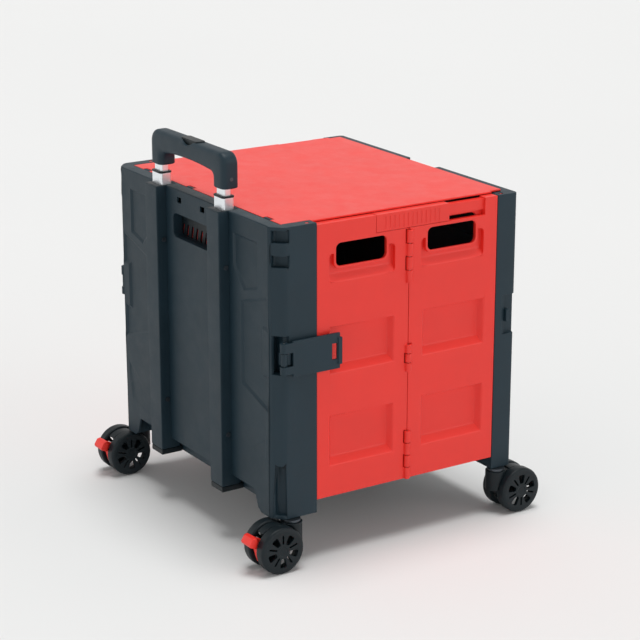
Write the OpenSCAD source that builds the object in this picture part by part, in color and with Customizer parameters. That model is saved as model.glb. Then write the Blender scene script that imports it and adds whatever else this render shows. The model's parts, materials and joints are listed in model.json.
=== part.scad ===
// Folding rolling crate: two rigid end shells joined by four hinged side panels,
// a drop floor, a lid, a two-stage pull handle and four twin-wheel swivel castors.
// X runs across the cart, the handle shell faces -Y, Z = 0 is the ground. The modules are drawn about
// the crate's own middle; in_frame() then puts the origin under the middle of the cart's outer box.

/* [Crate] */
// Width over the outer side faces of the two end shells
cart_w = 400; // [398:1:404]
// Distance from the origin to the front face of the handle shell
handle_face = 178.5; // [178:0.5:180]
// Distance from the origin to the outer face of the far shell
far_face = 178; // [177:0.5:179]
// Depth of the handle shell's side wraps
handle_wrap = 58; // [57.5:0.5:58.5]
// Depth of the far shell's side wraps
far_wrap = 31; // [30.5:0.5:31.5]
// Wall thickness of the moulded shells
wall = 3; // [2.6:0.2:3]
// Height of the handle shell's rim above the ground
rim_z = 428; // [427:0.5:429]
// Height of the top edge of the side panels and of the far shell
panel_top = 425; // [424:0.5:425]
// Height of the bottom edge of the side panels
panel_bottom = 78; // [78:0.5:79]
// Height of the underside of the four corner feet
foot_z = 61.5; // [61:0.5:62]

/* [Panels, lid and floor] */
// Thickness of a side panel
panel_t = 13; // [12:0.5:13]
// Depth of the pressed recesses in a side panel
recess_depth = 8; // [6:0.5:8]
// Thickness of the lid
lid_t = 2.2; // [2:0.1:2.3]
// Thickness of the floor panel
floor_t = 10; // [8:0.5:10]
// Length of a slide bolt
bolt_len = 108; // [100:1:109]

/* [Handle] */
// Distance between the centres of the two handle rails
rail_pitch = 156; // [154:1:158]
// Outer width of a rail
rail_w = 29.5; // [29:0.5:30]
// How far a rail stands proud of the shell's face
rail_proud = 13.8; // [13:0.2:14]
// Outer width and depth of a lower handle tube
lower_tube = [24, 16.5]; // [16:0.1:24]
// Outer width and depth of an upper handle tube
upper_tube = [18.6, 11.4]; // [11:0.1:19]
// Height of the top of the grip, handle pushed in
grip_top = 497; // [495:1:499]

/* [Castors] */
// Wheel radius
wheel_r = 30; // [29:0.5:30]
// Horizontal distance from the swivel axis to the wheel axle
trail = 25.5; // [25:0.5:26]
// Half of the distance between swivel axes across the cart
swivel_x = 195.5; // [195:0.5:196]
// Distances from the origin to the near and the far swivel axes
swivel_y = [155, 158]; // [155:0.5:158]
// Overall width of a twin wheel
twin_w = 46; // [44:1:46]

/* [Hidden] */
$fn = 48;

slate = "#3c464c";
coal = "#22292d";
red = "#e23338";
silver = "#d5d9dc";
steel = "#9aa0a4";

side_x = cart_w / 2;
fit = 0.06;                                    // radial clearance of a running fit
gap = 0.4;                                     // clearance between neighbouring parts
handle_wrap_y = -handle_face + handle_wrap;    // free edge of the handle shell's wraps
far_wrap_y = far_face - far_wrap;              // free edge of the far shell's wraps
mid_y = (handle_wrap_y + far_wrap_y) / 2;      // hinge line between the half panels
pivot_inset = 9.5;                             // corner pivot behind the wrap's free edge
pivot_x = side_x - 7.5;
handle_pivot_y = handle_wrap_y - pivot_inset;
far_pivot_y = far_wrap_y + pivot_inset;
panel_x = side_x - 0.5;                        // outer face of the side panels
mid_x = side_x;                                // axis of the hinge between half panels
knuckle_r = 4.2;
knuckle_gap = 0.9;
pivot_r = 2.5;
pivot_knuckle_r = 4.1;
mid_pin_r = 1.5;
bolt_floor_z = panel_top - 22;
bolt_y = mid_y - 48.5;                          // handle end of a bolt at rest
bolt_seat = 8;                                 // depth of the bolt's track
foot_top = panel_bottom - 0.6;
foot_inner_x = side_x - 35;
lid_z = panel_top + 0.7;
far_rim_z = panel_top + 0.4;
lid_far_y = far_face - 14.2;
lid_opening_x = side_x - 16.2;
lid_edge_x = panel_x - panel_t + 0.7;          // the lid's edge above the side panels
lid_near_y = -handle_face + 18.7;
lid_axis = [lid_near_y + 3, lid_z + lid_t - 3];
floor_top = panel_bottom - 1;
floor_axis = [-150, floor_top - 4.5];
floor_x = foot_inner_x - 5;
floor_far_y = far_face - wall - 0.5;
rail_x = rail_pitch / 2;
rail_front_y = -handle_face - rail_proud;
tube_y = -handle_face + 3;
rail_back_y = tube_y + lower_tube[1] / 2 + 2.65;
rail_mouth_y = [rail_front_y + 1.5, rail_back_y - 1.2];   // widened top of the rail's passage
grip_y = tube_y + 3;
latch_axis = [side_x + 1.5, -handle_face + 10.7];
latch_z = [foot_z + 183.3, foot_z + 228.3];
strap_x = [side_x + 3.2, side_x + 6.5];
strap_end_y = -handle_face + 87;
fold_travel = 264;                           // how far the far shell comes in when folded
catch_y = latch_axis[1] + 68.8 + fold_travel;  // the catch lies in the latch slot when folded
hub_r = 7.5;
wheel_gap = 8;                                 // half of the gap between the twin wheels
hood_r = 13.5;                                 // radius of a castor's bearing hood
stem_r = 3.5;
stem_seat_z = foot_z - 0.3;
stem_top = foot_z + 10.5;
stub_bottom = foot_z + 12;                     // lower end of the panels' pivots, above the stems
axle_r = 3;
brake_pivot = [14, 6];                         // brake pin, outward and up from the axle
rail_screw_z = [142, 357];
rail_screw_y = rail_front_y + 9.5;
tube_corner = 3.5;
pedal_reach = 40;                              // how far a brake pedal reaches from the axle
frame_shift = (swivel_y[0] + pedal_reach - swivel_y[1] - wheel_r) / 2;

// ---------- helpers ----------

// Mirrors its children so that they appear on both sides
module both_sides() {
    children();
    mirror([1, 0, 0]) children();
}

// Flat rectangle with round corners, drawn from exact squares and circles
module round_rect(size, r) {
    w = size[0];
    h = size[1];
    square([w - 2 * r, h], center = true);
    square([w, h - 2 * r], center = true);
    for (sx = [-1, 1], sy = [-1, 1])
        translate([sx * (w / 2 - r), sy * (h / 2 - r)])
            circle(r);
}

// Box between two corners
module box(low, high) {
    translate(low)
        cube(high - low);
}

// Extrudes a drawing in X and Z along Y, from y0 to y1
module along_y(y0, y1) {
    translate([0, y1, 0])
        rotate([90, 0, 0])
            linear_extrude(y1 - y0)
                children();
}

// Extrudes a drawing in Y and Z along X, from x0 to x1
module along_x(x0, x1) {
    translate([x0, 0, 0])
        rotate([90, 0, 90])
            linear_extrude(x1 - x0)
                children();
}

// Upright cylinder at a point in plan
module post(at, r, z0, z1) {
    translate([at[0], at[1], z0])
        cylinder(r = r, h = z1 - z0);
}

// Cylinder along X, at a point in Y and Z
module rod(at, r, x0, x1) {
    translate([x0, at[0], at[1]])
        rotate([0, 90, 0])
            cylinder(r = r, h = x1 - x0);
}

// ---------- handle shell ----------

chamfer = [17, 15.5];                          // width and depth of the near corners' chamfer

function wrap_outline(inset) = [
    [0, -handle_face + inset],
    [side_x - chamfer[0] - inset * 0.4, -handle_face + inset],
    [side_x - chamfer[0] * 0.72 - inset * 0.6, -handle_face + chamfer[1] * 0.13 + inset * 0.9],
    [side_x - chamfer[0] * 0.14 - inset * 0.9, -handle_face + chamfer[1] * 0.68 + inset * 0.6],
    [side_x - inset, -handle_face + chamfer[1] + inset * 0.4],
    [side_x - inset, handle_wrap_y]
];

module shell_plan() {
    polygon(concat(wrap_outline(0), [for (i = [5:-1:0]) wrap_outline(wall)[i]]));
}

module shell_solid_plan() {
    polygon(concat(wrap_outline(0), [[0, handle_wrap_y]]));
}

// Shallow recesses pressed into the face beside each rail
module face_recesses() {
    upper = [[103, 404], [160, 404], [160, 345], [128, 336], [103, 362]];
    middle = [[120, 323], [182, 341], [182, 197], [120, 217]];
    lower = [[121, 128], [176, 164], [176, 112], [121, 101]];
    along_y(-handle_face - 1, -handle_face + 2.2) polygon(upper);
    along_y(-handle_face - 1, -handle_face + 2.4) polygon(middle);
    along_y(-handle_face - 1, -handle_face + 1.2) polygon(lower);
}

// Outline in X and Z of what is cut away under the face, between the feet
module under_face() {
    polygon([[-1, foot_z - 1], [-1, 90], [148, 90], [151, 80], [156, 66], [166, foot_z - 1]]);
}

module rail_channel() {
    difference() {
        box([rail_x - 18, -handle_face, 88], [rail_x + 18, rail_back_y + wall, rim_z - 6]);
        box([rail_x - rail_w / 2 - 0.2, -handle_face - 1, 87],
            [rail_x + rail_w / 2 + 0.2, rail_back_y + 0.2, rim_z]);
    }
}

// Frame on a near corner's chamfer: X along the chamfer, Y into the corner
window_centre = [side_x - chamfer[0] * 0.33, -handle_face + chamfer[1] * 0.62];

module on_chamfer(z) {
    translate([window_centre[0], window_centre[1], z])
        rotate([0, 0, 42])
            children();
}

groove_top = foot_z + 68.5;

// Blind pockets in the corner: two windows above and a long groove below
module corner_windows() {
    on_chamfer(rim_z - 19) translate([-10, -6, 0]) cube([20, 14, 15]);
    on_chamfer(rim_z - 49) translate([-10, -6, 0]) cube([20, 14, 14]);
    on_chamfer(foot_z + 5) translate([-6.5, -6, 0]) cube([13, 12, groove_top - foot_z - 5]);
}

// Solid corners in which the windows and the groove end
module window_backing() {
    deep = [[side_x - 30, -handle_face], [side_x, -handle_face], [side_x, -150],
            [side_x - 15.5, -150], [side_x - 15.5, lid_near_y - 1.7], [side_x - 30, lid_near_y - 1.7]];
    intersection() {
        union() {
            along_z([rim_z - 54, rim_z - 1]) polygon(deep);
            along_z([foot_top - 1, groove_top + 3]) polygon(deep);
        }
        along_z([foot_z, rim_z]) shell_solid_plan();
    }
}

latch_pocket_z = [latch_z[0] + 1.5, latch_z[1] + 5];

// Opening of the latch hinge's pocket in the corner
module latch_pocket() {
    box([side_x - 13, -handle_face - 1, latch_pocket_z[0]],
        [side_x + 1, latch_axis[1] + 8, latch_pocket_z[1]]);
}

// Hollow of the pocket in plan, which runs in behind the face
module latch_hollow() {
    polygon([[side_x - 24, -handle_face + wall], [side_x - 13, -handle_face + wall],
             [side_x - 13, -handle_face - 1], [side_x + 1, -handle_face - 1],
             [side_x + 1, latch_axis[1] + 8], [side_x - 5.6, latch_axis[1] + 8],
             [side_x - 9, latch_axis[1] + 5], [side_x - 24, latch_axis[1] + 4]]);
}

// Walls round the pocket and the lug that holds the latch's pin
module latch_seat() {
    backing_z = [latch_z[0] - 2.5, latch_z[1] + 9];
    intersection() {
        difference() {
            box([side_x - 30, -handle_face, backing_z[0]], [side_x, latch_axis[1] + 11, backing_z[1]]);
            along_z(latch_pocket_z) latch_hollow();
        }
        along_z(backing_z) shell_solid_plan();
    }
    difference() {
        union() {
            post(latch_axis, 3.8, latch_z[0] + 14.8, latch_z[0] + 30.2);
            box([side_x - 7, latch_axis[1] - 2.5, latch_z[0] + 14.8],
                [latch_axis[0] + 1.3, latch_axis[1] + 8.5, latch_z[0] + 30.2]);
        }
        post(latch_axis, 1.55, latch_z[0], latch_z[1]);
    }
}

module along_z(z) {
    translate([0, 0, z[0]])
        linear_extrude(z[1] - z[0])
            children();
}

// One half of the handle shell, at +X
module half_handle_shell() {
    difference() {
        union() {
            difference() {
                union() {
                    along_z([foot_z, rim_z]) shell_plan();
                    // thicker field behind the pressed recesses
                    box([99, -handle_face + 1, 97], [181, -handle_face + wall + 1.8, 408]);
                }
                along_y(-handle_face - 1, -handle_face + 12) under_face();
                face_recesses();
                latch_pocket();
            }
            // rim that frames the lid
            difference() {
                along_z([rim_z - 6, rim_z]) shell_solid_plan();
                box([-1, lid_near_y - 1.5, rim_z - 7], [lid_opening_x, 0, rim_z + 1]);
            }
            // foot that carries the castor
            intersection() {
                along_z([foot_z, foot_top]) shell_solid_plan();
                along_y(-handle_face, handle_wrap_y) polygon([[foot_inner_x - 0.6, foot_top],
                    [foot_inner_x, foot_z], [side_x, foot_z], [side_x, foot_top]]);
            }
            rail_channel();
            window_backing();
            // sill under the face, which carries the floor's hinge
            box([0, -handle_face, 88], [foot_inner_x + 4, -157.6, 91]);
            box([0, -160.6, foot_z + 5], [foot_inner_x - 4, -157.6, 91]);
            latch_seat();
            // lugs of the lid's hinge
            for (x = [36, 150])
                lid_lug(x);
            for (x = [20, 84, 132])
                floor_lug(x);
            // inner flange of the hand hole
            along_y(-handle_face + 0.5, -165.3) difference() {
                translate([0, 381]) round_rect([98, 39], 10);
                translate([-60, 350]) square([60, 60]);
            }
        }
        // rail slots
        box([rail_x - rail_w / 2 - 0.2, -handle_face - 1, foot_z - 1],
            [rail_x + rail_w / 2 + 0.2, rail_back_y + 0.2, rim_z + 1]);
        swing_room(handle_pivot_y, 1, rim_z - 7, lid_z + 0.1);
        // hand hole and the two small windows above it
        along_y(-handle_face - 1, -160) translate([0, 381]) round_rect([90, 31], 7);
        box([29 - 5.2, -handle_face - 1, rim_z - 16.5], [29 + 5.2, -170, rim_z - 9.5]);
        corner_windows();
        // holes for the panels' pivots and for the castor's stem
        post([pivot_x, handle_pivot_y], pivot_r + fit, stub_bottom - 0.3, rim_z + 1);
        castor_socket(-swivel_y[0]);
        rod(lid_axis, 1.5 + fit, -1, side_x - 20);
        rod(floor_axis, 2.5 + fit, -1, foot_inner_x - 8);
    }
}

// Socket in a foot for the castor's stem
module castor_socket(y) {
    post([swivel_x, y], stem_r + fit, foot_z - 1, stem_top + 0.3);
}

// Room in a rim for the end of a panel as it swings about its pivot.
// toward is +1 if the panel lies toward +Y from the pivot.
module swing_room(pivot_y, toward, z0, z1) {
    y1 = pivot_y + toward * (pivot_inset + 1);
    difference() {
        box([pivot_x - 20, min(pivot_y, y1), z0], [pivot_x, max(pivot_y, y1), z1]);
        post([pivot_x, pivot_y], pivot_inset + 0.1, z0 - 1, z1 + 1);
    }
}

module lid_lug(x) {
    difference() {
        union() {
            rod(lid_axis, 3, x - 8, x + 8);
            box([x - 8, lid_near_y - 1.5, lid_axis[1] - 3], [x + 8, lid_axis[0], lid_axis[1]]);
        }
        rod(lid_axis, 1.5 + fit, x - 9, x + 9);
    }
}

module floor_lug(x) {
    difference() {
        union() {
            rod(floor_axis, 4.4, x - 6, x + 6);
            box([x - 6, -158, floor_axis[1] - 4.4], [x + 6, floor_axis[0], floor_axis[1] + 4.4]);
        }
        rod(floor_axis, 2.5 + fit, x - 7, x + 7);
    }
}

module handle_shell() {
    color(slate)
        both_sides()
            half_handle_shell();
}

slot_pitch = 11.7;

// Slotted plate behind the hand hole, with two rows of slots
module grille_plate() {
    color(coal)
        difference() {
            along_y(-165.1, -162.6) translate([0, 381]) round_rect([112, 74], 4);
            for (i = [-4:4]) {
                slanted_slot([i * slot_pitch + 1, 399], 19, -3);
                slanted_slot([i * slot_pitch + 3, 373], 17, -14);
            }
        }
}

// Thin red liner behind the slots
module grille_backing() {
    color(red)
        along_y(-162.5, -161.2) translate([0, 381]) round_rect([108, 70], 3);
}

module slanted_slot(at, len, lean) {
    along_y(-167, -160)
        translate(at)
            rotate(lean)
                round_rect([4.2, len], 2);
}

// ---------- rails ----------

// Box across a rail, between two Y values
module rail_box(w, y, z) {
    box([-w / 2, y[0], z[0]], [w / 2, y[1], z[1]]);
}

module rail() {
    difference() {
        rail_box(rail_w, [rail_front_y, rail_back_y], [foot_z + 12, rim_z - 0.6]);
        rail_box(lower_tube[0] + 0.6, [rail_front_y + 2.6, rail_back_y - 2.35], [foot_z + 11, rim_z]);
        rail_box(lower_tube[0] + 2.6, rail_mouth_y, [rim_z - 12.6, rim_z + 1]);
        // screw holes in the flanks of the rail
        for (z = rail_screw_z)
            rod([rail_screw_y, z], 1.6, -rail_w / 2 - 1, rail_w / 2 + 1);
    }
}

module rail_left() {
    color(slate) translate([-rail_x, 0, 0]) rail();
}

module rail_right() {
    color(slate) translate([rail_x, 0, 0]) rail();
}

// Foot plates under the rails, running in under the shell
module rail_feet() {
    color(coal)
        both_sides()
            difference() {
                union() {
                    box([rail_x - rail_w / 2 + 0.4, rail_front_y + 0.4, foot_z + 4.5],
                        [rail_x + rail_w / 2 - 0.4, -161, foot_z + 11.8]);
                    box([rail_x - lower_tube[0] / 2, rail_front_y + 2.8, foot_z + 5],
                        [rail_x + lower_tube[0] / 2, rail_back_y - 2.6, foot_z + 22]);
                }
                post([rail_x, -163], 1.5, foot_z + 4, foot_z + 13);
            }
}

// Slide bushes in the mouths of the rails
module rail_bushes() {
    color(coal)
        both_sides()
            translate([rail_x, 0, 0])
                difference() {
                    rail_box(lower_tube[0] + 2.4, rail_mouth_y + [0.1, -0.1], [rim_z - 12.4, rim_z - 0.4]);
                    translate([0, tube_y, rim_z - 13])
                        linear_extrude(14)
                            round_rect(lower_tube + [0.24, 0.24], tube_corner);
                }
}

module floor_hinge_rod() {
    color(steel)
        rod(floor_axis, 2.5, -foot_inner_x + 10, foot_inner_x - 10);
}

module lid_hinge_rod() {
    color(steel)
        both_sides() {
            rod(lid_axis, 1.5, 29, 59.5);
            rod(lid_axis, 1.5, 126.5, 157);
        }
}

module latch_pins() {
    color(steel)
        both_sides()
            post(latch_axis, 1.5, latch_z[0] + 4.2, latch_z[1] - 2.2);
}

// Screws that hold the rails to the shell
module shell_screws() {
    color(coal)
        both_sides()
            for (z = rail_screw_z, s = [-1, 1])
                translate([rail_x + s * (rail_w / 2 - 2.4), rail_screw_y, z])
                    rotate([0, s * 90, 0]) {
                        cylinder(r = 1.5, h = 2.6);
                        translate([0, 0, 2.5])
                            cylinder(r = 3, h = 1.4);
                    }
}

// ---------- castor stems ----------

module castor_stem() {
    post([0, 0], stem_r, foot_z - 22, stem_top);
    difference() {
        post([0, 0], 11.5, foot_z - 3.6, stem_seat_z);
        post([0, 0], 9, foot_z - 4, foot_z - 2.6);
    }
}

module handle_castor_stems() {
    color(coal)
        both_sides()
            translate([swivel_x, -swivel_y[0], 0]) castor_stem();
}

module far_castor_stems() {
    color(coal)
        both_sides()
            translate([swivel_x, swivel_y[1], 0]) castor_stem();
}

// ---------- pull handle ----------

// Tube with round corners of radius r
module tube(size, wall_t, r, z0, z1) {
    translate([0, 0, z0])
        linear_extrude(z1 - z0)
            difference() {
                round_rect(size, r);
                round_rect(size - [2, 2] * wall_t, r - wall_t);
            }
}

module lower_tube_part(side) {
    color(silver)
        translate([side * rail_x, tube_y, 0])
            tube(lower_tube, 1.2, tube_corner, 86, rim_z + 14);
}

module lower_tube_left() {
    lower_tube_part(-1);
}

module lower_tube_right() {
    lower_tube_part(1);
}

// Black collars on top of the lower tubes, which guide the upper tubes
module lower_collars() {
    color(coal)
        both_sides()
            translate([rail_x, tube_y, 0])
                difference() {
                    union() {
                        along_z([rim_z + 14.1, rim_z + 16.4])
                            round_rect(lower_tube + [1, 1], 4);
                        along_z([rim_z, rim_z + 14.2])
                            round_rect(lower_tube - [2.6, 2.6], 2.5);
                    }
                    along_z([rim_z - 1, rim_z + 20])
                        round_rect(upper_tube + [0.3, 0.3], 3.1);
                }
}

// Plugs that close the lower tubes and slide in the rails
module lower_plugs() {
    color(coal)
        both_sides()
            translate([rail_x, tube_y, 0]) {
                along_z([84, 85.9]) round_rect(lower_tube + [0.3, 0.3], tube_corner);
                along_z([85.8, 98]) round_rect(lower_tube - [2.6, 2.6], 2.5);
            }
}

module upper_tube_part(side) {
    color(silver)
        translate([side * rail_x, tube_y, 0])
            tube(upper_tube, 1, 3, 112, rim_z + 36);
}

module upper_tube_left() {
    upper_tube_part(-1);
}

module upper_tube_right() {
    upper_tube_part(1);
}

// Guide plugs at the foot of the upper tubes
module upper_plugs() {
    color(coal)
        both_sides()
            translate([rail_x, tube_y, 0]) {
                along_z([104, 111.9]) round_rect(lower_tube - [2.8, 2.8], 2.5);
                along_z([111.8, 124]) round_rect(upper_tube - [2.2, 2.2], 2.1);
            }
}

grip_half_w = rail_x + 13.5;
grip_bottom = rim_z + 25;
grip_depth = 24;
grip_under = grip_top - 27;

// Outline of the grip in X and Z: two legs under an arched bar
module grip_outline() {
    difference() {
        translate([0, (grip_top + grip_bottom) / 2])
            round_rect([2 * grip_half_w, grip_top - grip_bottom], 4);
        for (s = [-1, 1])
            translate([s * grip_half_w, grip_top])
                difference() {
                    square(28, center = true);
                    translate([-s * 14, -14]) circle(14);
                }
        translate([0, grip_bottom + 4])
            round_rect([2 * grip_half_w - 54, 2 * (grip_under - grip_bottom - 4)], 9);
        translate([0, grip_under + 3 - 470])
            intersection() {
                circle(470, $fn = 200);
                translate([-(grip_half_w - 38), 440]) square([2 * (grip_half_w - 38), 40]);
            }
    }
}

grip_screw_z = grip_bottom + 12;

module handle_grip() {
    front_y = grip_y - grip_depth / 2;
    color(slate)
        difference() {
            along_y(front_y, grip_y + grip_depth / 2) grip_outline();
            for (s = [-1, 1])
                translate([s * rail_x, tube_y, grip_bottom - 1])
                    linear_extrude(rim_z + 37 - grip_bottom)
                        round_rect(upper_tube + [0.1, 0.1], 3.05);
            // pocket of the release button and the well of its spring
            translate([0, grip_y, grip_top - 16])
                linear_extrude(20)
                    round_rect([41, 13.8], 4);
            post([0, grip_y], 4.5, grip_top - 22, grip_top);
            // thumb scoop in front of the button
            along_y(front_y - 1, grip_y - 5)
                translate([0, grip_top + 16]) circle(r = 22, $fn = 96);
            rod([grip_y, grip_screw_z], 1.5, -grip_half_w - 1, -grip_half_w + 3.8);
            rod([grip_y, grip_screw_z], 1.5, grip_half_w - 3.8, grip_half_w + 1);
        }
}

// Screws in the outer flanks of the grip, which hold it to the upper tubes
module grip_screws() {
    color(coal)
        both_sides() {
            rod([grip_y, grip_screw_z], 1.45, grip_half_w - 3.6, grip_half_w + 0.2);
            rod([grip_y, grip_screw_z], 2.4, grip_half_w + 0.05, grip_half_w + 0.5);
        }
}

spring_turns = 4;
spring_steps = 20;

// Coil spring under the release button, a swept tube of eight sides
module button_spring() {
    coil_r = 3.2;
    wire_r = 0.5;
    z0 = grip_top - 21.4;
    height = 8.8;
    last = spring_turns * spring_steps;
    ring = [for (i = [0:last], k = [0:7])
        let (turn = 360 * i / spring_steps, r = coil_r + wire_r * cos(45 * k))
        [r * cos(turn), r * sin(turn) + grip_y, z0 + height * i / last + wire_r * sin(45 * k)]];
    walls = [for (i = [0:last - 1], k = [0:7])
        [i * 8 + k, i * 8 + (k + 1) % 8, (i + 1) * 8 + (k + 1) % 8, (i + 1) * 8 + k]];
    ends = [[for (k = [7:-1:0]) k], [for (k = [0:7]) last * 8 + k]];
    color(steel)
        polyhedron(points = ring, faces = [for (f = concat(walls, ends)) [for (n = [len(f) - 1:-1:0]) f[n]]]);
}

module release_button() {
    color(coal)
        translate([0, grip_y, grip_top - 11.5])
            linear_extrude(12.7)
                round_rect([40.4, 13.2], 3.7);
}

// ---------- lid and floor ----------

module lid() {
    color(red)
        difference() {
            lid_plate();
            for (x = [36, 150])
                both_sides()
                    box([x - 8.4, lid_near_y - 1, lid_z - 1],
                        [x + 8.4, lid_axis[0] + 3.4, lid_z + lid_t + 1]);
            rod(lid_axis, 1.5 + fit, -side_x, side_x);
        }
}

module lid_plate() {
    box([-lid_opening_x + 0.7, lid_near_y, lid_z],
        [lid_opening_x - 0.7, lid_far_y, lid_z + lid_t]);
    box([-lid_edge_x, handle_wrap_y + 0.6, lid_z], [lid_edge_x, far_wrap_y - 0.6, lid_z + lid_t]);
    both_sides()
        for (x = [52, 134])
            rod(lid_axis, 3, x - 7.4, x + 7.4);
}

module floor_panel() {
    near_y = floor_axis[0] + 6;
    cells = 6;
    cell_w = 2 * (floor_x - 3) / cells;
    cell_l = (floor_far_y - near_y - 6) / cells;
    color(coal) {
        difference() {
            box([-floor_x, near_y, floor_top - floor_t], [floor_x, floor_far_y, floor_top]);
            for (i = [0:cells - 1], j = [0:cells - 1])
                box([-floor_x + 3 + i * cell_w + 1.2, near_y + 3 + j * cell_l + 1.2, floor_top - floor_t - 1],
                    [-floor_x + 3 + (i + 1) * cell_w - 1.2, near_y + 3 + (j + 1) * cell_l - 1.2,
                     floor_top - 2.8]);
        }
        both_sides()
            for (x = [34, 100, 146])
                difference() {
                    union() {
                        rod(floor_axis, 4.4, x - 7, x + 7);
                        box([x - 7, floor_axis[0], floor_axis[1] - 4.4],
                            [x + 7, near_y + 1, floor_axis[1] + 4.4]);
                    }
                    rod(floor_axis, 2.5 + fit, x - 8, x + 8);
                }
    }
}

// ---------- side panels ----------

// Recess with sloped side and bottom walls, open to +X
module sloped_recess(y, z, depth) {
    x0 = panel_x - depth;
    intersection() {
        along_z([z[0] - 1, z[1] + 1])
            polygon([[x0, y[0] + 5.5], [x0, y[1] - 5.5], [panel_x, y[1]], [panel_x + 1, y[1]],
                     [panel_x + 1, y[0]], [panel_x, y[0]]]);
        along_y(y[0] - 1, y[1] + 1)
            polygon([[x0, z[0] + 9.5], [x0, z[1] - 2.5], [panel_x, z[1]], [panel_x + 1, z[1]],
                     [panel_x + 1, z[0]], [panel_x, z[0]]]);
    }
}

// Cells that lighten the inner face; depth is how far they reach from the inner face
module inner_cells(y, z, depth, columns) {
    x0 = panel_x - panel_t;
    step = (y[1] - y[0]) / columns;
    for (i = [0:columns - 1])
        box([x0 - 1, y[0] + i * step + 1.2, z[0]], [x0 + depth, y[0] + (i + 1) * step - 1.2, z[1]]);
}

// Room behind a hand hole: starts at a depth below the outer face, wider by a margin all round
module hole_behind(hole_y, hole_z, depth, margin) {
    along_x(panel_x - panel_t - 1, panel_x - depth)
        translate([hole_y, (hole_z[0] + hole_z[1]) / 2])
            round_rect([73 + 2 * margin, hole_z[1] - hole_z[0] + 2 * margin], 7 + margin / 2);
}

// Blank of a half panel between two Y values, with its hand hole and recesses.
// hole_y is the middle of the hand hole, recess_y the middle of the two lower recesses.
module panel_blank(y, hole_y, recess_y) {
    mid_z = [236.5, 295.5];
    low_z = [118, 182.5];
    hole_z = [370, 398.8];
    half_recess = 47;
    difference() {
        box([panel_x - panel_t, y[0], panel_bottom], [panel_x, y[1], panel_top]);
        // hand hole
        along_x(panel_x - panel_t - 1, panel_x + 1)
            translate([hole_y, (hole_z[0] + hole_z[1]) / 2])
                round_rect([73, hole_z[1] - hole_z[0]], 7);
        // the hole widens behind its lip
        hole_behind(hole_y, hole_z, 3, 1.8);
        hole_behind(hole_y, hole_z, 7.8, 8);
        // pocket with a sloped floor around the lower part of the hand hole, leaving a thin lip
        intersection() {
            along_x(panel_x - 6, panel_x + 1)
                difference() {
                    translate([hole_y + 1.5, 369]) round_rect([95, 36], 6);
                    translate([hole_y, (hole_z[0] + hole_z[1]) / 2])
                        round_rect([79, hole_z[1] - hole_z[0] + 6], 9);
                }
            along_y(y[0], y[1])
                polygon([[panel_x + 1, 350], [panel_x, 351], [panel_x - 6, 361], [panel_x - 6, 400],
                         [panel_x + 1, 400]]);
        }
        sloped_recess([recess_y - half_recess, recess_y + half_recess], mid_z, recess_depth);
        sloped_recess([recess_y - half_recess, recess_y + half_recess], low_z, recess_depth);
        // hollow cells on the inner face
        for (z = [[panel_bottom + 3, low_z[0] - 3], [low_z[1] + 3, mid_z[0] - 3], [mid_z[1] + 3, 349]])
            inner_cells([y[0] + 12, y[1] - 12], z, panel_t - 3, 4);
        for (z = [low_z, mid_z])
            inner_cells([recess_y - 39, recess_y + 39], [z[0] + 12, z[1] - 5], panel_t - recess_depth - 2.6, 3);
    }
}

// Height bands of the knuckles, from the bottom; even ones belong to the front half
function knuckle_bands() = concat(
    [for (i = [0:3]) [panel_bottom + i * 16.1, panel_bottom + (i + 1) * 16.1 - knuckle_gap]],
    [for (i = [0:2]) [220 + i * 11.9, 220 + (i + 1) * 11.9 - knuckle_gap]],
    [for (i = [0:3]) [334 + i * 16.9, 334 + (i + 1) * 16.9 - knuckle_gap]]
);
function owner(i) = i < 4 ? i % 2 : i < 7 ? (i - 4) % 2 : (i - 7) % 2;

module hinge_knuckles(mine) {
    for (i = [0:len(knuckle_bands()) - 1])
        if (owner(i) == mine)
            post([mid_x, mid_y], knuckle_r, knuckle_bands()[i][0], knuckle_bands()[i][1]);
}

module hinge_clearance(mine) {
    for (i = [0:len(knuckle_bands()) - 1])
        if (owner(i) != mine)
            post([mid_x, mid_y], knuckle_r + 1.2, knuckle_bands()[i][0] - knuckle_gap,
                 knuckle_bands()[i][1] + knuckle_gap);
}

// Height spans of the three knuckle groups, each with a pin of its own
function pin_spans() = [for (g = [[0, 3], [4, 6], [7, 10]])
    [knuckle_bands()[g[0]][0], knuckle_bands()[g[1]][1]]];

module mid_pin_hole() {
    for (span = pin_spans())
        post([mid_x, mid_y], mid_pin_r + fit, span[0] - 1, span[1] + 0.3);
}

// Tongue behind the wrap with the upright pivot, at a pivot position.
// toward is +1 if the panel lies toward +Y from the pivot.
module pivot_tongue(pivot_y, toward, top_z, reach) {
    z0 = panel_bottom + 4;
    y1 = pivot_y + toward * (pivot_inset + 1);
    post([pivot_x, pivot_y], pivot_knuckle_r, z0, top_z);
    box([pivot_x - 4, min(pivot_y, y1), z0], [pivot_x + pivot_knuckle_r, max(pivot_y, y1), top_z]);
    post([pivot_x, pivot_y], pivot_r, stub_bottom, reach);
}

module front_panel() {
    y = [handle_wrap_y + gap, mid_y - gap];
    difference() {
        union() {
            difference() {
                panel_blank(y, (y[0] + y[1]) / 2 - 3, (y[0] + y[1]) / 2 - 1.6);
                hinge_clearance(0);
                // notch for the bolt, open behind
                box([panel_x - panel_t - 1, bolt_y - gap, bolt_floor_z], [panel_x + 1, mid_y, panel_top + 1]);
            }
            hinge_knuckles(0);
        }
        mid_pin_hole();
    }
    pivot_tongue(handle_pivot_y, 1, rim_z - 6.4, rim_z - 0.4);
}

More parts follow.
